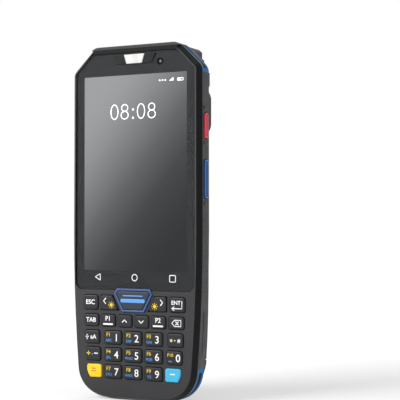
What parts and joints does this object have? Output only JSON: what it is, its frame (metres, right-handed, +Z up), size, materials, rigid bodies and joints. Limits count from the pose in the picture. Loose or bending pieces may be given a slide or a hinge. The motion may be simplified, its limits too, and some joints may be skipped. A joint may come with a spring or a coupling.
{
  "type": "handheld barcode data terminal",
  "caption": "Rugged handheld data terminal with a touch screen, pressable keypad and side keys, corner bumpers, strap fittings and a tip-out battery pack.",
  "frame": {"origin": "middle of the base, at the height it stands on, centred on the overall depth and width", "axes": "+Z up the length, -Y out of the screen, +X towards the side with the power key"},
  "size_m": [0.071, 0.026, 0.17],
  "materials": {
    "front_shell": "satin black",
    "glass": "polished, dark border",
    "display": "satin",
    "mesh": "woven",
    "indicator": "translucent white",
    "front_camera": "glossy",
    "blue_trim": "satin blue",
    "rubber": "moulded",
    "circuit_board": "solder mask",
    "magnesium_frame": "cast",
    "shields": "stamped",
    "engine": "black anodised",
    "scan_window": "dark red",
    "inner_plastic": "moulded",
    "camera_ring": "dark anodised",
    "camera_glass": "polished",
    "rear_shell": "fine grain grey",
    "blue_bumper": "blue rubber",
    "gold": "gold plated",
    "green_mark": "green",
    "screws": "black oxide",
    "usb_shell": "stamped",
    "battery": "wrapped cells",
    "latch_knob": "ribbed",
    "key_red": "satin red",
    "key_side_blue": "satin blue",
    "key_side_grey": "satin",
    "key_scan": "satin",
    "key_yellow": "satin yellow",
    "key_cyan": "satin blue",
    "key_dark": "hard-coated"
  },
  "bodies": {
    "housing": {"front_housing": "front_shell", "touch_glass": "glass", "display_module": "display", "acoustic_meshes": "mesh", "indicator_lens": "indicator", "front_camera": "front_camera", "scan_key_trim": "blue_trim", "keypad_mat": "rubber", "keypad_board": "circuit_board", "mid_frame": "magnesium_frame", "main_board": "circuit_board", "board_components": "shields", "scan_engine": "engine", "scan_window": "scan_window", "speaker": "inner_plastic", "rear_camera": "inner_plastic", "camera_bezel": "camera_ring", "camera_glass": "camera_glass", "rear_housing": "rear_shell", "housing_gasket": "rubber", "top_bumpers": "blue_bumper", "bottom_bumpers": "blue_bumper", "bumper_inserts": "rubber", "gold_contacts": "gold", "latch_indicator": "green_mark", "rear_screws": "screws", "usb_port": "usb_shell"},
    "battery_pack": {"battery_cover": "rear_shell", "battery_cell": "battery"},
    "latch": {"latch_slider": "latch_knob"},
    "power_button": {"power_key": "key_red"},
    "right_scan_button": {"right_scan_key": "key_side_blue"},
    "left_scan_button": {"left_scan_key": "key_side_blue"},
    "volume_switch": {"volume_rocker": "key_side_grey"},
    "key_esc_cap": {"key_esc": "key_dark"},
    "key_enter_cap": {"key_enter": "key_dark"},
    "key_tab_cap": {"key_tab": "key_dark"},
    "key_backspace_cap": {"key_backspace": "key_dark"},
    "key_shift_cap": {"key_shift": "key_dark"},
    "key_symbol_cap": {"key_symbol": "key_dark"},
    "key_sign_cap": {"key_sign": "key_dark"},
    "key_0_cap": {"key_0": "key_dark"},
    "key_yellow_cap": {"key_yellow": "key_yellow"},
    "key_blue_cap": {"key_blue": "key_cyan"},
    "key_p1_cap": {"key_p1": "key_dark"},
    "key_up_cap": {"key_up": "key_dark"},
    "key_down_cap": {"key_down": "key_dark"},
    "key_p2_cap": {"key_p2": "key_dark"},
    "key_1_cap": {"key_1": "key_dark"},
    "key_2_cap": {"key_2": "key_dark"},
    "key_3_cap": {"key_3": "key_dark"},
    "key_4_cap": {"key_4": "key_dark"},
    "key_5_cap": {"key_5": "key_dark"},
    "key_6_cap": {"key_6": "key_dark"},
    "key_7_cap": {"key_7": "key_dark"},
    "key_8_cap": {"key_8": "key_dark"},
    "key_9_cap": {"key_9": "key_dark"},
    "key_left_cap": {"key_left": "key_dark"},
    "key_right_cap": {"key_right": "key_dark"},
    "key_scan_cap": {"key_scan": "key_scan"}
  },
  "joints": [
    {"name": "battery_tip", "type": "hinge", "parent": "housing", "child": "battery_pack", "pos_m": [0, 0.01105, 0.019], "axis": [-1, 0, 0], "range_deg": [0, 30]},
    {"name": "latch_slide", "type": "slide", "parent": "housing", "child": "latch", "axis": [1, 0, 0], "range_m": [-0.0115, 0]},
    {"name": "power_press", "type": "slide", "parent": "housing", "child": "power_button", "axis": [-1, 0, 0], "range_m": [0, 0.0005], "stiffness_N_per_m": 1500},
    {"name": "right_scan_press", "type": "slide", "parent": "housing", "child": "right_scan_button", "axis": [-1, 0, 0], "range_m": [0, 0.0005], "stiffness_N_per_m": 1500},
    {"name": "left_scan_press", "type": "slide", "parent": "housing", "child": "left_scan_button", "axis": [1, 0, 0], "range_m": [0, 0.0005], "stiffness_N_per_m": 1500},
    {"name": "volume_tilt", "type": "hinge", "parent": "housing", "child": "volume_switch", "pos_m": [-0.032, -0.00505, 0.1325], "axis": [0, 1, 0], "range_deg": [-2, 2], "stiffness_Nm_per_rad": 0.3},
    {"name": "key_esc_press", "type": "slide", "parent": "housing", "child": "key_esc_cap", "axis": [0, 1, 0], "range_m": [0, 0.0006], "stiffness_N_per_m": 1200},
    {"name": "key_enter_press", "type": "slide", "parent": "housing", "child": "key_enter_cap", "axis": [0, 1, 0], "range_m": [0, 0.0006], "stiffness_N_per_m": 1200},
    {"name": "key_tab_press", "type": "slide", "parent": "housing", "child": "key_tab_cap", "axis": [0, 1, 0], "range_m": [0, 0.0006], "stiffness_N_per_m": 1200},
    {"name": "key_backspace_press", "type": "slide", "parent": "housing", "child": "key_backspace_cap", "axis": [0, 1, 0], "range_m": [0, 0.0006], "stiffness_N_per_m": 1200},
    {"name": "key_shift_press", "type": "slide", "parent": "housing", "child": "key_shift_cap", "axis": [0, 1, 0], "range_m": [0, 0.0006], "stiffness_N_per_m": 1200},
    {"name": "key_symbol_press", "type": "slide", "parent": "housing", "child": "key_symbol_cap", "axis": [0, 1, 0], "range_m": [0, 0.0006], "stiffness_N_per_m": 1200},
    {"name": "key_sign_press", "type": "slide", "parent": "housing", "child": "key_sign_cap", "axis": [0, 1, 0], "range_m": [0, 0.0006], "stiffness_N_per_m": 1200},
    {"name": "key_0_press", "type": "slide", "parent": "housing", "child": "key_0_cap", "axis": [0, 1, 0], "range_m": [0, 0.0006], "stiffness_N_per_m": 1200},
    {"name": "key_yellow_press", "type": "slide", "parent": "housing", "child": "key_yellow_cap", "axis": [0, 1, 0], "range_m": [0, 0.0006], "stiffness_N_per_m": 1200},
    {"name": "key_blue_press", "type": "slide", "parent": "housing", "child": "key_blue_cap", "axis": [0, 1, 0], "range_m": [0, 0.0006], "stiffness_N_per_m": 1200},
    {"name": "key_p1_press", "type": "slide", "parent": "housing", "child": "key_p1_cap", "axis": [0, 1, 0], "range_m": [0, 0.0006], "stiffness_N_per_m": 1200},
    {"name": "key_up_press", "type": "slide", "parent": "housing", "child": "key_up_cap", "axis": [0, 1, 0], "range_m": [0, 0.0006], "stiffness_N_per_m": 1200},
    {"name": "key_down_press", "type": "slide", "parent": "housing", "child": "key_down_cap", "axis": [0, 1, 0], "range_m": [0, 0.0006], "stiffness_N_per_m": 1200},
    {"name": "key_p2_press", "type": "slide", "parent": "housing", "child": "key_p2_cap", "axis": [0, 1, 0], "range_m": [0, 0.0006], "stiffness_N_per_m": 1200},
    {"name": "key_1_press", "type": "slide", "parent": "housing", "child": "key_1_cap", "axis": [0, 1, 0], "range_m": [0, 0.0006], "stiffness_N_per_m": 1200},
    {"name": "key_2_press", "type": "slide", "parent": "housing", "child": "key_2_cap", "axis": [0, 1, 0], "range_m": [0, 0.0006], "stiffness_N_per_m": 1200},
    {"name": "key_3_press", "type": "slide", "parent": "housing", "child": "key_3_cap", "axis": [0, 1, 0], "range_m": [0, 0.0006], "stiffness_N_per_m": 1200},
    {"name": "key_4_press", "type": "slide", "parent": "housing", "child": "key_4_cap", "axis": [0, 1, 0], "range_m": [0, 0.0006], "stiffness_N_per_m": 1200},
    {"name": "key_5_press", "type": "slide", "parent": "housing", "child": "key_5_cap", "axis": [0, 1, 0], "range_m": [0, 0.0006], "stiffness_N_per_m": 1200},
    {"name": "key_6_press", "type": "slide", "parent": "housing", "child": "key_6_cap", "axis": [0, 1, 0], "range_m": [0, 0.0006], "stiffness_N_per_m": 1200},
    {"name": "key_7_press", "type": "slide", "parent": "housing", "child": "key_7_cap", "axis": [0, 1, 0], "range_m": [0, 0.0006], "stiffness_N_per_m": 1200},
    {"name": "key_8_press", "type": "slide", "parent": "housing", "child": "key_8_cap", "axis": [0, 1, 0], "range_m": [0, 0.0006], "stiffness_N_per_m": 1200},
    {"name": "key_9_press", "type": "slide", "parent": "housing", "child": "key_9_cap", "axis": [0, 1, 0], "range_m": [0, 0.0006], "stiffness_N_per_m": 1200},
    {"name": "key_left_press", "type": "slide", "parent": "housing", "child": "key_left_cap", "axis": [0, 1, 0], "range_m": [0, 0.0006], "stiffness_N_per_m": 1200},
    {"name": "key_right_press", "type": "slide", "parent": "housing", "child": "key_right_cap", "axis": [0, 1, 0], "range_m": [0, 0.0006], "stiffness_N_per_m": 1200},
    {"name": "key_scan_press", "type": "slide", "parent": "housing", "child": "key_scan_cap", "axis": [0, 1, 0], "range_m": [0, 0.0006], "stiffness_N_per_m": 1200}
  ]
}
